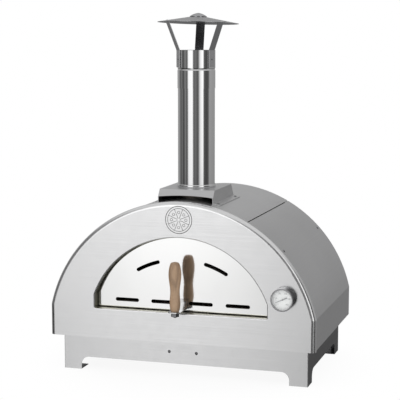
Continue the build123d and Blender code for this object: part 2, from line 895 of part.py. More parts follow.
with BuildPart() as cap_cone:
    add(cone_space(0))
    add(cone_space(-cone_sheet), mode=Mode.SUBTRACT)
    with Locations(*cone_rivet_places):
        Cylinder(rivet_radius / 2 + screw_clearance, hole_length, mode=Mode.SUBTRACT)
cap_cone.part.label = "cap_cone"
export_step(cap_cone.part, "parts/cap_cone.step")

finial_base = cone_rise - cone_slope * finial_radius + cone_sheet
with BuildPart() as cap_finial:
    with BuildSketch(Plane.XZ):
        with BuildLine():
            Polyline(
                (finial_flat, finial_base + finial_rim + finial_rise),
                (0, finial_base + finial_rim + finial_rise),
                (0, cone_rise + cone_sheet + fit),
                (finial_radius, finial_base + fit),
                (finial_radius, finial_base + finial_rim),
            )
            ThreePointArc(
                (finial_radius, finial_base + finial_rim),
                (finial_radius * 0.58, finial_base + finial_rim + finial_rise * 0.62),
                (finial_flat, finial_base + finial_rim + finial_rise),
            )
        make_face()
    revolve(axis=Axis.Z)
cap_finial.part.locate(cone_plane.location)
cap_finial.part.label = "cap_finial"
export_step(cap_finial.part, "parts/cap_finial.step")

strap_inner = collar_radius + fit
strap_foot_z = collar_bead_z + strap_foot_gap
strap_lean = (strap_top_radius - strap_inner) / (cone_rim_z - collar_top)
strap_slant_sheet = strap_sheet * sqrt(1 + strap_lean**2)
for strap_index, angle in enumerate(strap_angles, start=1):
    turn = radians(angle)
    radial_plane = Plane(
        origin=(0, flue_y, 0), x_dir=(sin(turn), -cos(turn), 0), z_dir=(-cos(turn), -sin(turn), 0)
    )
    with BuildPart() as cap_strap:
        with BuildSketch(radial_plane):
            with BuildLine():
                Polyline(
                    (strap_inner, strap_foot_z),
                    (strap_inner, collar_top),
                    (strap_inner + strap_lean * strap_rise, collar_top + strap_rise),
                    (strap_inner + strap_lean * strap_rise + strap_slant_sheet, collar_top + strap_rise),
                    (strap_inner + strap_sheet, collar_top - fit),
                    (strap_inner + strap_sheet, strap_foot_z),
                    close=True,
                )
            make_face()
        extrude(amount=strap_width / 2, both=True)
        add(cone_tab(radial_plane))
        add(cone_space(fit / 6), mode=Mode.SUBTRACT)
        with Locations(*collar_rivet_places, *cone_rivet_places):
            Cylinder(rivet_radius / 2 + screw_clearance, hole_length, mode=Mode.SUBTRACT)
    cap_strap.part.label = f"cap_strap_{strap_index}"
    export_step(cap_strap.part, f"parts/cap_strap_{strap_index}.step")

with BuildPart() as cap_rivets:
    with Locations(*collar_rivet_places, *cone_rivet_places):
        add(fastener(rivet_radius, rivet_radius / 2, rivet_length))
cap_rivets.part.label = "cap_rivets"
export_step(cap_rivets.part, "parts/cap_rivets.step")

# ---------------------------------------------------------------- door

door_back_y = door_front_y + door_depth
rivet_x = bracket_width / 2 - bracket_rivet_side
rivet_z = grip_bottom + bracket_height - bracket_rivet_drop
bracket_rivet_places = [
    Location((x, door_front_y - bracket_sheet, rivet_z), (90, 0, 0)) for x in (-rivet_x, rivet_x)
]


def door_slots(margin):
    """Air slots of the door: straight ones in a row and curved ones above, each grown by a margin."""
    with BuildSketch() as slots:
        for x in slot_positions:
            with Locations((-x, slot_z), (x, slot_z)):
                SlotOverall(slot_length + 2 * margin, slot_height + 2 * margin)
        for start in (arc_slot_start, 180 - arc_slot_start - arc_slot_sweep):
            with BuildLine() as middle:
                CenterArc((0, arc_slot_center), arc_slot_radius, start, arc_slot_sweep)
            SlotArc(middle.edges()[0], slot_height + 2 * margin)
    return slots.sketch


with BuildPart() as door_panel:
    add(folded_pan(door_arch, door_front_y, door_back_y, door_sheet, door_bend))
    add(slab(door_slots(0), door_front_y - door_sheet, door_front_y + 2 * door_sheet), mode=Mode.SUBTRACT)
    with Locations(*bracket_rivet_places):
        Cylinder(rivet_radius / 2 + screw_clearance, hole_length, mode=Mode.SUBTRACT)
door_panel.part.label = "door_panel"
export_step(door_panel.part, "parts/door_panel.step")

inner_panel_end = door_back_y - inner_panel_inset
inner_panel_start = inner_panel_end - inner_panel_sheet
with BuildPart() as door_inner_panel:
    add(slab(door_arch(door_sheet + fit), inner_panel_start, inner_panel_end))
    inner_slots = door_slots(inner_slot_margin)
    add(
        slab(inner_slots, inner_panel_start - inner_panel_sheet, inner_panel_end + inner_panel_sheet),
        mode=Mode.SUBTRACT,
    )
door_inner_panel.part.label = "door_inner_panel"
export_step(door_inner_panel.part, "parts/door_inner_panel.step")

bracket_top = grip_bottom
bracket_front_y = grip_y - bracket_nose
with BuildPart() as handle_bracket:
    with BuildSketch(Plane.YZ):
        with BuildLine():
            Polyline(
                (bracket_front_y, bracket_top - bracket_sheet),
                (door_front_y, bracket_top - bracket_sheet),
                (door_front_y, bracket_top + bracket_height),
                (door_front_y - bracket_sheet, bracket_top + bracket_height),
                (door_front_y - bracket_sheet, bracket_top),
                (bracket_front_y, bracket_top),
                close=True,
            )
        make_face()
    extrude(amount=bracket_width / 2, both=True)
    fillet(handle_bracket.edges().filter_by(Axis.Z).group_by(Axis.Y)[0], bracket_corner)
    with Locations((0, grip_y, bracket_top)):
        Cylinder(stud_radius + fit / 2, hole_length, mode=Mode.SUBTRACT)
    with Locations(*bracket_rivet_places):
        Cylinder(rivet_radius / 2 + screw_clearance, hole_length, mode=Mode.SUBTRACT)
handle_bracket.part.label = "handle_bracket"
export_step(handle_bracket.part, "parts/handle_bracket.step")

with BuildPart() as bracket_rivets:
    with Locations(*bracket_rivet_places):
        add(fastener(rivet_radius, rivet_radius / 2, rivet_length))
bracket_rivets.part.label = "bracket_rivets"
export_step(bracket_rivets.part, "parts/bracket_rivets.step")

grip_axis = Axis((0, grip_y, 0), (0, 0, 1))
grip_height = grip_top - grip_bottom
stud_top = grip_top - stud_cover
with BuildPart() as handle_grip:
    with BuildSketch(Plane.XZ.offset(-grip_y)):
        with BuildLine():
            Polyline((0, grip_top), (0, grip_bottom), (grip_foot_radius, grip_bottom))
            Spline(
                (grip_foot_radius, grip_bottom),
                (grip_belly_radius, grip_bottom + 0.17 * grip_height),
                (grip_waist_radius, grip_bottom + 0.4 * grip_height),
                (grip_head_radius, grip_bottom + 0.77 * grip_height),
                (grip_shoulder_radius, grip_bottom + 0.945 * grip_height),
                (0, grip_top),
                tangents=[(1, 2), (-1, 0)],
            )
        make_face()
    revolve(axis=grip_axis)
    with Locations((0, grip_y, grip_bottom)):
        Cylinder(
            stud_radius + fit / 2,
            stud_top + fit - grip_bottom,
            align=(Align.CENTER, Align.CENTER, Align.MIN),
            mode=Mode.SUBTRACT,
        )
handle_grip.part.label = "handle_grip"
export_step(handle_grip.part, "parts/handle_grip.step")

bracket_underside = bracket_top - bracket_sheet
stud_bottom = bracket_underside - washer_thickness - nut_height - stud_end
with BuildPart() as handle_stud:
    with Locations((0, grip_y, stud_bottom)):
        Cylinder(stud_radius, stud_top - stud_bottom, align=(Align.CENTER, Align.CENTER, Align.MIN))
    chamfer(handle_stud.edges(), stud_chamfer)
handle_stud.part.label = "handle_stud"
export_step(handle_stud.part, "parts/handle_stud.step")

with BuildPart() as handle_washer:
    with BuildSketch(Plane.XY.offset(bracket_underside)):
        with Locations((0, grip_y)):
            Circle(washer_radius)
            Circle(stud_radius + fit / 2, mode=Mode.SUBTRACT)
    extrude(amount=-washer_thickness)
handle_washer.part.label = "handle_washer"
export_step(handle_washer.part, "parts/handle_washer.step")

with BuildPart() as handle_nut:
    with BuildSketch(Plane.XY.offset(bracket_underside - washer_thickness)):
        with Locations((0, grip_y)):
            RegularPolygon(nut_radius, 6)
            Circle(stud_radius + fit / 6, mode=Mode.SUBTRACT)
    extrude(amount=-nut_height)
handle_nut.part.label = "handle_nut"
export_step(handle_nut.part, "parts/handle_nut.step")

# ---------------------------------------------------------------- thermometer

gauge_front_y = front_y - gauge_depth
dial_y = gauge_front_y + dial_recess
gauge_axis = Axis((gauge_x, 0, gauge_z), (0, 1, 0))


def gauge_revolve(points):
    """Solid turned about the thermometer's axis from points given as (radius, depth)."""
    with BuildPart() as turned:
        with BuildSketch(Plane.XY.offset(gauge_z)):
            with BuildLine():
                Polyline(*[(gauge_x + radius, depth) for radius, depth in points], close=True)
            make_face()
        revolve(axis=gauge_axis)
    return turned.part


case_radius = gauge_radius - gauge_wall
bezel_back_y = gauge_front_y + bezel_depth
with BuildPart() as gauge_case:
    add(
        gauge_revolve(
            [
                (gauge_stem_radius + fit / 6, front_y),
                (case_radius, front_y),
                (case_radius, gauge_front_y + bezel_depth / 2),
                (case_radius - gauge_wall, gauge_front_y + bezel_depth / 2),
                (case_radius - gauge_wall, front_y - gauge_wall),
                (gauge_stem_radius + fit / 6, front_y - gauge_wall),
            ]
        )
    )
gauge_case.part.label = "gauge_case"
export_step(gauge_case.part, "parts/gauge_case.step")

with BuildPart() as gauge_bezel:
    add(
        gauge_revolve(
            [
                (gauge_radius - bezel_lip, gauge_front_y),
                (gauge_radius - gauge_wall, gauge_front_y),
                (gauge_radius, gauge_front_y + gauge_wall),
                (gauge_radius, bezel_back_y),
                (case_radius + bezel_fit, bezel_back_y),
                (case_radius + bezel_fit, gauge_front_y + gauge_wall),
                (gauge_radius - bezel_lip, gauge_front_y + gauge_wall),
            ]
        )
    )
gauge_bezel.part.label = "gauge_bezel"
export_step(gauge_bezel.part, "parts/gauge_bezel.step")

lens_radius = case_radius - 2 * bezel_fit
lens_front_y = gauge_front_y + gauge_wall + 2 * bezel_fit
lens_back_y = lens_front_y + lens_thickness
with BuildPart() as gauge_lens:
    add(
        gauge_revolve(
            [
                (0, lens_front_y),
                (lens_radius, lens_front_y),
                (lens_radius, lens_back_y),
                (0, lens_back_y),
            ]
        )
    )
gauge_lens.part.label = "gauge_lens"
export_step(gauge_lens.part, "parts/gauge_lens.step")

dial_radius = case_radius - gauge_wall - 2 * bezel_fit
with BuildPart() as gauge_dial:
    add(
        gauge_revolve(
            [
                (spindle_radius + fit, dial_y),
                (dial_radius, dial_y),
                (dial_radius, dial_y + dial_thickness),
                (spindle_radius + fit, dial_y + dial_thickness),
            ]
        )
    )
gauge_dial.part.label = "gauge_dial"
export_step(gauge_dial.part, "parts/gauge_dial.step")

needle_turn = radians(needle_rest_angle)
needle_y = dial_y - needle_gap
needle_plane = Plane(
    origin=(gauge_x, needle_y, gauge_z), x_dir=(cos(needle_turn), 0, sin(needle_turn)), z_dir=(0, -1, 0)
)
needle_ends = ((needle_point_length, needle_tip_width), (-needle_tail_length, needle_tail_width))
with BuildPart() as gauge_needle:
    with BuildSketch(needle_plane):
        Circle(needle_hub_radius)
        for reach, end_width in needle_ends:
            with BuildLine():
                Polyline(
                    (0, -needle_root_width / 2),
                    (reach, -end_width / 2),
                    (reach, end_width / 2),
                    (0, needle_root_width / 2),
                    close=True,
                )
            make_face()
    extrude(amount=needle_thickness)
gauge_needle.part.label = "gauge_needle"
export_step(gauge_needle.part, "parts/gauge_needle.step")

stem_end_y = front_y + gauge_stem_length
with BuildPart() as gauge_spindle:
    add(
        gauge_revolve(
            [
                (0, needle_y),
                (spindle_radius, needle_y),
                (spindle_radius, stem_end_y - spindle_end_gap),
                (0, stem_end_y - spindle_end_gap),
            ]
        )
    )
gauge_spindle.part.label = "gauge_spindle"
export_step(gauge_spindle.part, "parts/gauge_spindle.step")

with BuildPart() as gauge_stem:
    add(
        gauge_revolve(
            [
                (gauge_stem_radius - stem_wall, front_y - gauge_wall),
                (gauge_stem_radius, front_y - gauge_wall),
                (gauge_stem_radius, stem_end_y),
                (0, stem_end_y),
                (0, stem_end_y - stem_wall),
                (gauge_stem_radius - stem_wall, stem_end_y - stem_wall),
            ]
        )
    )
gauge_stem.part.label = "gauge_stem"
export_step(gauge_stem.part, "parts/gauge_stem.step")

gauge_nut_y = front_y + facade_sheet
with BuildPart() as gauge_nut:
    with BuildSketch(upright(gauge_nut_y)):
        with Locations((gauge_x, gauge_z)):
            RegularPolygon(gauge_nut_radius, 6)
            Circle(gauge_stem_radius + fit / 6, mode=Mode.SUBTRACT)
    extrude(amount=-gauge_nut_height)
gauge_nut.part.label = "gauge_nut"
export_step(gauge_nut.part, "parts/gauge_nut.step")

# Bimetal strip wound round the spindle inside the stem.
coil_start_y = stem_end_y - coil_start_gap
with BuildPart() as gauge_coil:
    with BuildLine() as coil_path:
        coil_start = (gauge_x, coil_start_y, gauge_z)
        Helix(coil_pitch, coil_length, coil_radius, center=coil_start, direction=(0, 1, 0))
    with BuildSketch(Plane(origin=coil_path.line @ 0, z_dir=coil_path.line % 0)):
        Circle(coil_wire)
    sweep(is_frenet=True)
gauge_coil.part.label = "gauge_coil"
export_step(gauge_coil.part, "parts/gauge_coil.step")
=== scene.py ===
"""Looks of the wood-fired pizza oven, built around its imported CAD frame. Metres, +Z up, front faces -Y."""

import json
from math import cos, pi, radians, sin

import bmesh
import bpy
from mathutils import Matrix, Vector


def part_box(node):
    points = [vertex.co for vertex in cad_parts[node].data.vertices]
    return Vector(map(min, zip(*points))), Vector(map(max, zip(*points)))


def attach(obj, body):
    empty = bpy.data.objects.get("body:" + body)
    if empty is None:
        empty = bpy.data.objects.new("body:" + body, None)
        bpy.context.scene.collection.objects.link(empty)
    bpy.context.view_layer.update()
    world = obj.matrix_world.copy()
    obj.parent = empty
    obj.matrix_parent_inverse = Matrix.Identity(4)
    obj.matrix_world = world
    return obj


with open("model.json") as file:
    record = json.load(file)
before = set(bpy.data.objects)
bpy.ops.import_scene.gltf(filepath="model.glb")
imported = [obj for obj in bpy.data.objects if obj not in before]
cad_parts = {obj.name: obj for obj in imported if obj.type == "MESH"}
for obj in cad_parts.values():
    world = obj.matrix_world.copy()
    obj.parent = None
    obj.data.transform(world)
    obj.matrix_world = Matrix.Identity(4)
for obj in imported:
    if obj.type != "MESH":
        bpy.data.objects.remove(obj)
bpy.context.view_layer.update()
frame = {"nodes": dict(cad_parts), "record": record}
nodes = frame["nodes"]

MM = 0.001

# ------------------------------------------------------------------ places read from the frame

front_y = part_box("facade")[0].y
dial_low, dial_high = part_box("gauge_dial")
dial_centre = (dial_low + dial_high) / 2
dial_radius = (dial_high.x - dial_low.x) / 2


# ------------------------------------------------------------------ node helpers


class NodeTree:
    """A node tree with short calls for the nodes used here."""

    def __init__(self, owner):
        owner.use_nodes = True
        self.tree = owner.node_tree
        self.tree.nodes.clear()

    def node(self, kind, **settings):
        made = self.tree.nodes.new(kind)
        for key, value in settings.items():
            setattr(made, key, value)
        return made

    def join(self, source, target):
        self.tree.links.new(source, target)

    def ramp(self, factor, stops):
        """Colour ramp from (position, colour) stops; a bare number is a grey."""
        made = self.node("ShaderNodeValToRGB")
        elements = made.color_ramp.elements
        while len(elements) < len(stops):
            elements.new(0.5)
        for element, (position, colour) in zip(elements, stops):
            element.position = position
            element.color = grey(colour) if isinstance(colour, (int, float)) else (*colour, 1)
        self.join(factor, made.inputs["Fac"])
        return made.outputs["Color"]

    def remap(self, value, low, high, from_low=0.3, from_high=0.7):
        made = self.node("ShaderNodeMapRange")
        made.inputs["From Min"].default_value = from_low
        made.inputs["From Max"].default_value = from_high
        made.inputs["To Min"].default_value = low
        made.inputs["To Max"].default_value = high
        self.join(value, made.inputs["Value"])
        return made.outputs["Result"]

    def mix(self, factor, first, second, blend="MIX"):
        made = self.node("ShaderNodeMix", data_type="RGBA", blend_type=blend)
        for socket, value in (("Factor", factor), ("A", first), ("B", second)):
            target = [s for s in made.inputs if s.name == socket and s.enabled][0]
            if isinstance(value, bpy.types.NodeSocket):
                self.join(value, target)
            else:
                target.default_value = value
        return [s for s in made.outputs if s.enabled][0]

    def math(self, operation, first, second=None):
        made = self.node("ShaderNodeMath", operation=operation)
        for target, value in zip(made.inputs, (first, second)):
            if isinstance(value, bpy.types.NodeSocket):
                self.join(value, target)
            elif value is not None:
                target.default_value = value
        return made.outputs["Value"]


class Shader(NodeTree):
    """A material's surface shader, fed from the object's own coordinates."""

    def __init__(self, name):
        self.material = bpy.data.materials.new(name)
        super().__init__(self.material)
        self.output = self.node("ShaderNodeOutputMaterial")
        self.surface = self.node("ShaderNodeBsdfPrincipled")
        self.join(self.surface.outputs["BSDF"], self.output.inputs["Surface"])
        self.place = self.node("ShaderNodeTexCoord").outputs["Object"]

    def set(self, **values):
        """Sets constant sockets of the surface shader; underscores in a key stand for spaces."""
        for key, value in values.items():
            self.surface.inputs[key.replace("_", " ")].default_value = value

    def stretched(self, scale, offset=(0, 0, 0)):
        """Object coordinates scaled by a different factor along each axis."""
        mapping = self.node("ShaderNodeMapping")
        mapping.inputs["Scale"].default_value = scale
        mapping.inputs["Location"].default_value = offset
        self.join(self.place, mapping.inputs["Vector"])
        return mapping.outputs["Vector"]

    def noise(self, vector, detail=4.0, roughness=0.55, distortion=0.0):
        made = self.node("ShaderNodeTexNoise")
        made.inputs["Scale"].default_value = 1.0
        made.inputs["Detail"].default_value = detail
        made.inputs["Roughness"].default_value = roughness
        made.inputs["Distortion"].default_value = distortion
        self.join(vector, made.inputs["Vector"])
        return made.outputs["Fac"]

    def colour(self, source):
        self.join(source, self.surface.inputs["Base Color"])

    def rough(self, source):
        self.join(source, self.surface.inputs["Roughness"])

    def bump(self, height, distance):
        """Adds a bump of a depth in metres on top of any bump made before."""
        made = self.node("ShaderNodeBump")
        made.inputs["Strength"].default_value = 1.0
        made.inputs["Distance"].default_value = distance
        self.join(height, made.inputs["Height"])
        normal = self.surface.inputs["Normal"]
        if normal.is_linked:
            self.join(normal.links[0].from_socket, made.inputs["Normal"])
        self.join(made.outputs["Normal"], normal)


def grey(value):
    return (value, value, value, 1)


def shade(colour, factor):
    return tuple(channel * factor for channel in colour)


# ------------------------------------------------------------------ materials


def brushed_steel(name, colour, grain, roughness=0.3, grain_depth=0.008 * MM, clouds=0.04):
    """Satin stainless sheet: fine brushed lines along one axis, faint clouds and handling marks."""
    steel = Shader(name)
    across, along = 2600, 9
    scale = tuple(along if axis == grain else across for axis in "xyz")
    lines = steel.noise(steel.stretched(scale), detail=3)
    broad = steel.noise(steel.stretched(tuple(s / 7 for s in scale), (0.3, 0.1, 0.7)), detail=2)
    cloud = steel.noise(steel.stretched((3.5, 3.5, 3.5)), detail=3)
    tone = steel.ramp(lines, [(0.3, shade(colour, 0.96)), (0.7, shade(colour, 1.02))])
    light = steel.remap(cloud, 1 - clouds, 1 + clouds)
    tone = steel.mix(1.0, tone, steel.ramp(light, [(0, 0), (1, 1.0)]), "MULTIPLY")
    steel.colour(tone)
    wear = steel.noise(steel.stretched((40, 40, 40)), detail=6, roughness=0.65)
    streaks = steel.remap(broad, roughness - 0.03, roughness + 0.03)
    steel.rough(steel.math("ADD", streaks, steel.remap(wear, -0.015, 0.03)))
    steel.set(Metallic=1.0)
    steel.bump(lines, grain_depth)
    steel.bump(cloud, 0.25 * MM)
    return steel.material


def polished_steel(name, colour, roughness=0.06, waves=0.35 * MM, wave_scale=(6, 6, 6)):
    """Mirror-polished stainless: slow waves of thin sheet, hairline scratches and faint smudges."""
    steel = Shader(name)
    wave = steel.noise(steel.stretched(wave_scale), detail=1.5)
    hair = steel.noise(steel.stretched((900, 900, 12)), detail=2)
    smudge = steel.noise(steel.stretched((18, 18, 18)), detail=5, roughness=0.6)
    steel.colour(steel.ramp(smudge, [(0.3, shade(colour, 0.97)), (0.7, colour)]))
    film = steel.remap(smudge, roughness * 0.7, roughness * 1.5)
    steel.rough(steel.math("ADD", film, steel.remap(hair, 0, 0.03)))
    steel.set(Metallic=1.0)
    steel.bump(wave, waves)
    steel.bump(hair, 0.002 * MM)
    return steel.material


def tinted_steel(name, colour, tint, roughness=0.3):
    """Stainless darkened by heat, in soft patches."""
    steel = Shader(name)
    patch = steel.noise(steel.stretched((9, 9, 9)), detail=5, roughness=0.6, distortion=0.6)
    lines = steel.noise(steel.stretched((1400, 14, 1400)), detail=2)
    steel.colour(steel.ramp(patch, [(0.32, colour), (0.55, tint), (0.75, shade(colour, 0.8))]))
    steel.rough(steel.remap(patch, roughness - 0.06, roughness + 0.1))
    steel.set(Metallic=1.0)
    steel.bump(lines, 0.015 * MM)
    steel.bump(patch, 0.1 * MM)
    return steel.material


def zinc_steel(name, colour):
    """Small plated fasteners with a slightly mottled bright skin, given a dark colour as painted shade of
    their recessed heads.
    """
    steel = Shader(name)
    mottle = steel.noise(steel.stretched((700, 700, 700)), detail=4)
    steel.colour(steel.ramp(mottle, [(0.3, shade(colour, 0.8)), (0.7, colour)]))
    steel.rough(steel.remap(mottle, 0.18, 0.36))
    steel.set(Metallic=1.0)
    steel.bump(mottle, 0.02 * MM)
    return steel.material


def brass(name):
    metal = Shader(name)
    mottle = metal.noise(metal.stretched((500, 40, 500)), detail=3)
    metal.colour(metal.ramp(mottle, [(0.3, (0.45, 0.31, 0.13)), (0.7, (0.72, 0.55, 0.27))]))
    metal.rough(metal.remap(mottle, 0.22, 0.38))
    metal.set(Metallic=1.0)
    return metal.material


def turned_wood(name):
    """Turned hardwood: rings seen on the long grain, darker pores and an oiled skin."""
    wood = Shader(name)
    grain = wood.stretched((95, 95, 7), (0.4, 0.2, 0.0))
    figure = wood.noise(grain, detail=5, roughness=0.6, distortion=0.8)
    rings = wood.node("ShaderNodeTexWave", wave_type="RINGS", rings_direction="X")
    rings.inputs["Scale"].default_value = 42
    rings.inputs["Distortion"].default_value = 5
    rings.inputs["Detail"].default_value = 3
    rings.inputs["Detail Scale"].default_value = 1.5
    wood.join(wood.stretched((1, 1, 0.07), (0.02, 0.25, 0.0)), rings.inputs["Vector"])
    pores = wood.noise(wood.stretched((1700, 1700, 70)), detail=2)
    pale, dark = (0.42, 0.285, 0.185), (0.27, 0.165, 0.095)
    body = wood.ramp(figure, [(0.28, dark), (0.5, (0.36, 0.24, 0.15)), (0.72, pale)])
    ring_tone = wood.ramp(rings.outputs["Fac"], [(0.0, 0.66), (0.5, 0.95), (1.0, 1.05)])
    body = wood.mix(0.75, body, ring_tone, "MULTIPLY")
    pore_tone = wood.ramp(pores, [(0.32, 0.55), (0.45, 1.0)])
    wood.colour(wood.mix(0.8, body, pore_tone, "MULTIPLY"))
    wood.rough(wood.remap(figure, 0.34, 0.52))
    wood.set(Coat_Weight=0.15, Coat_Roughness=0.25)
    wood.bump(pores, 0.06 * MM)
    wood.bump(figure, 0.12 * MM)
    return wood.material


def refractory(name):
    """Fired clay tile: sandy skin, darker grog specks and pits."""
    clay = Shader(name)
    sand = clay.noise(clay.stretched((420, 420, 420)), detail=6, roughness=0.7)
    patch = clay.noise(clay.stretched((14, 14, 14)), detail=4)
    specks = clay.node("ShaderNodeTexVoronoi", feature="F1")
    specks.inputs["Scale"].default_value = 260
    clay.join(clay.place, specks.inputs["Vector"])
    body = clay.ramp(patch, [(0.3, (0.52, 0.43, 0.32)), (0.7, (0.66, 0.57, 0.45))])
    grog = clay.ramp(specks.outputs["Distance"], [(0.06, 0.45), (0.22, 1.0)])
    clay.colour(clay.mix(0.7, body, grog, "MULTIPLY"))
    clay.rough(clay.remap(sand, 0.8, 0.95))
    clay.bump(sand, 0.5 * MM)
    return clay.material


def ceramic_fibre(name):
    fibre = Shader(name)
    strands = fibre.noise(fibre.stretched((260, 40, 260)), detail=6, roughness=0.7, distortion=1.5)
    fibre.colour(fibre.ramp(strands, [(0.3, (0.62, 0.60, 0.55)), (0.7, (0.82, 0.80, 0.76))]))
    fibre.rough(fibre.remap(strands, 0.9, 1.0))
    fibre.bump(strands, 1.2 * MM)
    return fibre.material


def clear_glass(name):
    glass = Shader(name)
    dust = glass.noise(glass.stretched((90, 90, 90)), detail=5)
    glass.rough(glass.remap(dust, 0.01, 0.05))
    glass.set(Base_Color=(0.90, 0.93, 0.92, 1), Alpha=0.12, IOR=1.45)
    return glass.material


def enamel(name, colour):
    """Smooth enamel or printed paint with a faint orange-peel skin."""
    paint = Shader(name)
    skin = paint.noise(paint.stretched((900, 900, 900)), detail=2)
    cloud = paint.noise(paint.stretched((60, 60, 60)), detail=3)
    paint.colour(paint.ramp(cloud, [(0.3, shade(colour, 0.94)), (0.7, colour)]))
    paint.rough(paint.remap(skin, 0.32, 0.48))
    paint.bump(skin, 0.01 * MM)
    return paint.material


slot_materials = {
    "facade_steel": brushed_steel("facade_satin", (0.84, 0.84, 0.845), "x", 0.21),
    "shell_steel": brushed_steel("shell_satin", (0.66, 0.66, 0.665), "y", 0.34),
    "base_steel": brushed_steel("base_satin", (0.79, 0.79, 0.795), "x", 0.21),
    "hood_steel": brushed_steel("hood_satin", (0.62, 0.62, 0.625), "x", 0.32),
    "flue_steel": polished_steel("flue_mirror", (0.80, 0.80, 0.805), 0.05, 0.5 * MM, (14, 14, 1.6)),
    "cap_steel": brushed_steel("cap_satin", (0.44, 0.44, 0.45), "x", 0.26),
    "door_mirror": polished_steel("door_mirror", (0.93, 0.93, 0.925), 0.07, 0.15 * MM, (5, 5, 5)),
    "door_inner_steel": tinted_steel("door_inner_heat", (0.30, 0.29, 0.28), (0.24, 0.21, 0.17), 0.4),
    "inner_steel": tinted_steel("chamber_heat", (0.22, 0.21, 0.20), (0.16, 0.14, 0.12), 0.45),
    "tinted_steel": tinted_steel("mouth_heat_tint", (0.62, 0.61, 0.55), (0.50, 0.49, 0.40), 0.26),
    "bracket_steel": polished_steel("bracket_bright", (0.74, 0.74, 0.745), 0.12),
    # Painted shade: the fasteners are coloured much darker than the steel they hold, standing in for the
    # shade of their recessed heads.
    "screw_steel": zinc_steel("fastener_zinc_painted_shade", (0.27, 0.27, 0.28)),
    "gauge_case_steel": polished_steel("gauge_cup", (0.24, 0.24, 0.25), 0.16),
    "gauge_chrome": polished_steel("gauge_ring", (0.40, 0.40, 0.41), 0.10),
    "gauge_glass": clear_glass("gauge_window"),
    "dial_white": enamel("dial_enamel", (0.93, 0.93, 0.93)),
    "needle_black": enamel("needle_paint", (0.20, 0.20, 0.205)),
    "spindle_brass": brass("spindle_brass"),
    "grip_wood": turned_wood("turned_hardwood"),
    "refractory": refractory("fired_clay"),
    "insulation": ceramic_fibre("ceramic_fibre"),
}
# Painted shade: the base side panels get a near-black copy of the base steel, standing in for the shade under
# the body's overhang and the shadowed floor they reflect.
node_materials = {
    side: brushed_steel("base_side_painted_shade_" + side, (0.08, 0.08, 0.085), "y", 0.30)
    for side in ("base_left_panel", "base_right_panel")
}
# Painted shade: the cap straps get their own darker copy of the polished steel, standing in for the shade
# they sit in under the cap.
strap_material = polished_steel("strap_painted_shade", (0.50, 0.50, 0.51), 0.14)
for strap in ("cap_strap_1", "cap_strap_2", "cap_strap_3"):
    node_materials[strap] = strap_material

for subpart in frame["record"]["subparts"]:
    node = nodes[subpart["node"]]
    material = node_materials.get(subpart["node"], slot_materials[subpart["material_slot"]])
    node.data.materials.clear()
    node.data.materials.append(material)


# ------------------------------------------------------------------ added pieces


def flat_piece(name, build, material):
    """A piece on the oven, made by a function that fills a bmesh."""
    mesh = bpy.data.meshes.new(name)
    shape = bmesh.new()
    build(shape)
    bmesh.ops.recalc_face_normals(shape, faces=shape.faces)
    shape.to_mesh(mesh)
    shape.free()
    piece = bpy.data.objects.new(name, mesh)
    bpy.context.scene.collection.objects.link(piece)
    mesh.materials.append(material)
    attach(piece, "oven")


def bar(shape, points, width, back_y, front):
    """Closed strip of constant width along points (x, z), from depth back_y to depth front."""
    sides = []
    for index, point in enumerate(points):
        before = points[max(index - 1, 0)]
        after = points[min(index + 1, len(points) - 1)]
        along = (after - before).normalized()
        across = Vector((-along.y, along.x)) * width / 2
        sides.append([point + across, point - across])
    rings = []
    for left, right in sides:
        corners = ((left, back_y), (left, front), (right, front), (right, back_y))
        rings.append([shape.verts.new((corner.x, y, corner.y)) for corner, y in corners])
    for first, second in zip(rings, rings[1:]):
        for corner in range(4):
            following = (corner + 1) % 4
            shape.faces.new((first[corner], first[following], second[following], second[corner]))
    shape.faces.new(rings[0])
    shape.faces.new(rings[-1])


def ring_points(centre, radius, start=0.0, end=360.0, steps=96):
    angles = [radians(start + (end - start) * step / steps) for step in range(steps + 1)]
    return [centre + radius * Vector((cos(angle), sin(angle))) for angle in angles]


# Emblem: a pizza cut in slices, etched in the facade above the mouth.
emblem_centre = Vector((0, 0.430))
emblem_radius = 36 * MM
emblem_line = 1.9 * MM
crust_inside = 0.84
slice_count = 8
ETCH = 0.08 * MM


def emblem(shape):
    back, front = front_y + ETCH, front_y - ETCH
    bar(shape, ring_points(emblem_centre, emblem_radius), emblem_line, back, front)
    bar(shape, ring_points(emblem_centre, emblem_radius * crust_inside), emblem_line * 0.7, back, front)
    half_slice = 180 / slice_count
    for slice_index in range(slice_count):
        angle = radians(half_slice + 2 * half_slice * slice_index)
        direction = Vector((cos(angle), sin(angle)))
        ends = [emblem_centre + direction * emblem_radius * reach for reach in (0.1, crust_inside)]
        bar(shape, ends, emblem_line * 0.7, back, front)
        topping = emblem_centre + Matrix.Rotation(radians(half_slice), 2) @ direction * emblem_radius * 0.55
        bar(shape, ring_points(topping, emblem_radius * 0.09, steps=24), emblem_line * 0.6, back, front)


flat_piece("emblem", emblem, enamel("etched_line", (0.10, 0.10, 0.10)))

# Dial: ticks round the edge, longer at each numbered step.
PRINT = 0.05 * MM
dial_face = dial_low.y
dial_start, dial_sweep, dial_steps = 225, 270, 50
steps_per_number = 10
scale_reach = 0.92
number_reach = 0.62
dial_centre_xz = Vector((dial_centre.x, dial_centre.z))


def dial_direction(step):
    angle = radians(dial_start - dial_sweep * step / dial_steps)
    return Vector((cos(angle), sin(angle)))


def dial_scale(shape):
    back, front = dial_face + PRINT, dial_face - PRINT
    for step in range(dial_steps + 1):
        numbered = step % steps_per_number == 0
        inner = 0.78 if numbered else 0.84
        ends = [dial_centre_xz + dial_direction(step) * dial_radius * reach for reach in (inner, scale_reach)]
        bar(shape, ends, (0.55 if numbered else 0.3) * MM, back, front)
    arc = ring_points(dial_centre_xz, dial_radius * scale_reach, dial_start, dial_start - dial_sweep)
    bar(shape, arc, 0.35 * MM, back, front)


dial_ink = enamel("dial_ink", (0.13, 0.13, 0.14))
flat_piece("dial_scale", dial_scale, dial_ink)

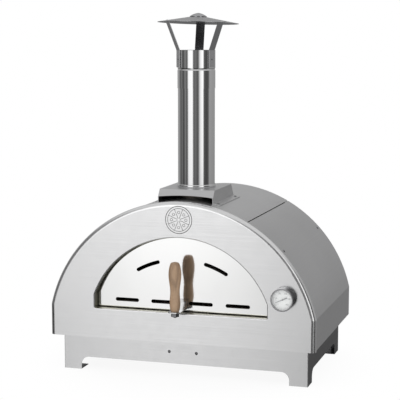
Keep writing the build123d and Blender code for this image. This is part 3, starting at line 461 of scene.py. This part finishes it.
for number in range(dial_steps // steps_per_number + 1):
    text = bpy.data.curves.new(f"dial_number_{number}", "FONT")
    text.body = str(number * 100)
    text.size = 5 * MM
    text.extrude = PRINT
    text.align_x = "CENTER"
    text.align_y = "CENTER"
    text.materials.append(dial_ink)
    label = bpy.data.objects.new(f"dial_number_{number}", text)
    bpy.context.scene.collection.objects.link(label)
    spot = dial_centre_xz + dial_direction(number * steps_per_number) * dial_radius * number_reach
    label.rotation_euler = (radians(90), 0, 0)
    label.location = (spot.x, dial_face, spot.y)
    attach(label, "oven")


# ------------------------------------------------------------------ stage, light and camera


def studio_floor():
    """Pale floor that fades into the white surroundings away from the oven."""
    half_size = 40
    mesh = bpy.data.meshes.new("floor")
    corners = [(half_size * x, half_size * y, 0) for x, y in ((-1, -1), (1, -1), (1, 1), (-1, 1))]
    mesh.from_pydata(corners, [], [(0, 1, 2, 3)])
    floor = bpy.data.objects.new("floor", mesh)
    bpy.context.scene.collection.objects.link(floor)
    pale = Shader("pale_floor")
    pale.set(Base_Color=(0.88, 0.88, 0.88, 1), Roughness=0.9, Specular_IOR_Level=0.0)
    glow = pale.node("ShaderNodeEmission")
    glow.inputs["Color"].default_value = grey(1.0)
    reach = pale.node("ShaderNodeVectorMath", operation="LENGTH")
    pale.join(pale.place, reach.inputs[0])
    fade = pale.remap(reach.outputs["Value"], 0.92, 1.0, 0.3, 0.5)
    blend = pale.node("ShaderNodeMixShader")
    pale.join(fade, blend.inputs["Fac"])
    pale.join(pale.surface.outputs["BSDF"], blend.inputs[1])
    pale.join(glow.outputs["Emission"], blend.inputs[2])
    pale.join(blend.outputs["Shader"], pale.output.inputs["Surface"])
    mesh.materials.append(pale.material)
    floor.visible_glossy = False


def studio_world():
    """White room for the eye and for soft light; polished metal sees its sheets, gaps and dark corners."""
    world = bpy.data.worlds.new("studio")
    bpy.context.scene.world = world
    studio = NodeTree(world)
    direction = studio.node("ShaderNodeSeparateXYZ")
    studio.join(studio.node("ShaderNodeTexCoord").outputs["Generated"], direction.inputs["Vector"])
    forward = studio.math("MULTIPLY", direction.outputs["Y"], -1.0)
    turn = studio.math("ARCTAN2", direction.outputs["X"], forward)
    azimuth = studio.remap(turn, 0.0, 1.0, -pi, pi)
    height = studio.remap(direction.outputs["Z"], 0.0, 1.0, -1.0, 1.0)

    def at(degrees_from_front):
        """Place of a direction on an azimuth ramp, in degrees from the front, positive to the right."""
        return (degrees_from_front + 180) / 360

    around_low = studio.ramp(
        azimuth,
        [
            (at(-180), 0.36), (at(-115), 0.42), (at(-102), 0.20), (at(-94), 0.05), (at(-72), 0.10),
            (at(-55), 0.04), (at(-42), 0.10), (at(-33), 0.50), (at(-24), 1.15), (at(-19), 1.68),
            (at(-15), 1.42), (at(-11), 0.78), (at(-6), 0.28), (at(-1), 0.10), (at(27), 0.12),
            (at(38), 0.45), (at(56), 0.45), (at(66), 0.08), (at(94), 0.12), (at(105), 0.42),
            (at(140), 0.38), (at(180), 0.36),
        ],
    )
    around_high = studio.ramp(
        azimuth,
        [
            (at(-180), 0.46), (at(-117), 0.42), (at(-104), 0.24), (at(-92), 0.10), (at(-84), 0.26),
            (at(-73), 0.09), (at(-63), 0.13), (at(-56), 0.32), (at(-48), 0.13), (at(-39), 0.24),
            (at(-33), 1.30), (at(-8), 1.42), (at(-1), 0.12), (at(9), 0.22), (at(28), 0.11),
            (at(40), 1.06), (at(57), 1.50), (at(65), 0.12), (at(86), 0.08), (at(97), 0.14),
            (at(105), 0.44), (at(140), 0.40), (at(180), 0.36),
        ],
    )
    low_to_high = [
        (0.0, 0.50), (0.40, 0.60), (0.44, 0.78), (0.50, 0.95), (0.60, 1.05), (0.75, 0.9), (1.0, 0.8),
    ]
    rise = studio.ramp(height, low_to_high)
    around = studio.mix(studio.ramp(height, [(0.42, 0.0), (0.445, 1.0)]), around_low, around_high)
    walls = studio.mix(1.0, around, rise, "MULTIPLY")
    overhead = studio.ramp(height, [(0.70, 0.0), (0.85, 1.0)])
    reflected = studio.mix(overhead, walls, grey(0.7))

    path = studio.node("ShaderNodeLightPath")
    seen = studio.mix(path.outputs["Is Glossy Ray"], grey(1.0), reflected)
    background = studio.node("ShaderNodeBackground")
    studio.join(seen, background.inputs["Color"])
    output = studio.node("ShaderNodeOutputWorld")
    studio.join(background.outputs["Background"], output.inputs["Surface"])


def softbox(name, place, size, power):
    """Square soft light aimed at the body's middle."""
    target = (0, 0, 0.4)
    light = bpy.data.lights.new(name, "AREA")
    light.shape = "RECTANGLE"
    light.size = light.size_y = size
    light.energy = power
    holder = bpy.data.objects.new(name, light)
    bpy.context.scene.collection.objects.link(holder)
    holder.location = place
    holder.rotation_euler = (Vector(target) - Vector(place)).to_track_quat("-Z", "Y").to_euler()
    holder.visible_glossy = False


def photo_camera():
    """Camera fitted to the part's own frame."""
    data = bpy.data.cameras.new("camera")
    data.sensor_width = 36
    data.lens = 113.48
    data.clip_end = 100
    camera = bpy.data.objects.new("camera", data)
    bpy.context.scene.collection.objects.link(camera)
    elevation, azimuth = 7.33, 17.11
    camera.location = (1.01227, -3.31457, 0.90186)
    camera.rotation_euler = (radians(90 - elevation), 0, radians(azimuth))
    bpy.context.scene.camera = camera


studio_floor()
studio_world()
softbox("key_light", (-1.6, -2.0, 2.4), 1.6, 18)
softbox("fill_light", (2.2, -1.2, 1.8), 1.2, 8)
photo_camera()
bpy.context.scene.view_settings.view_transform = "Standard"
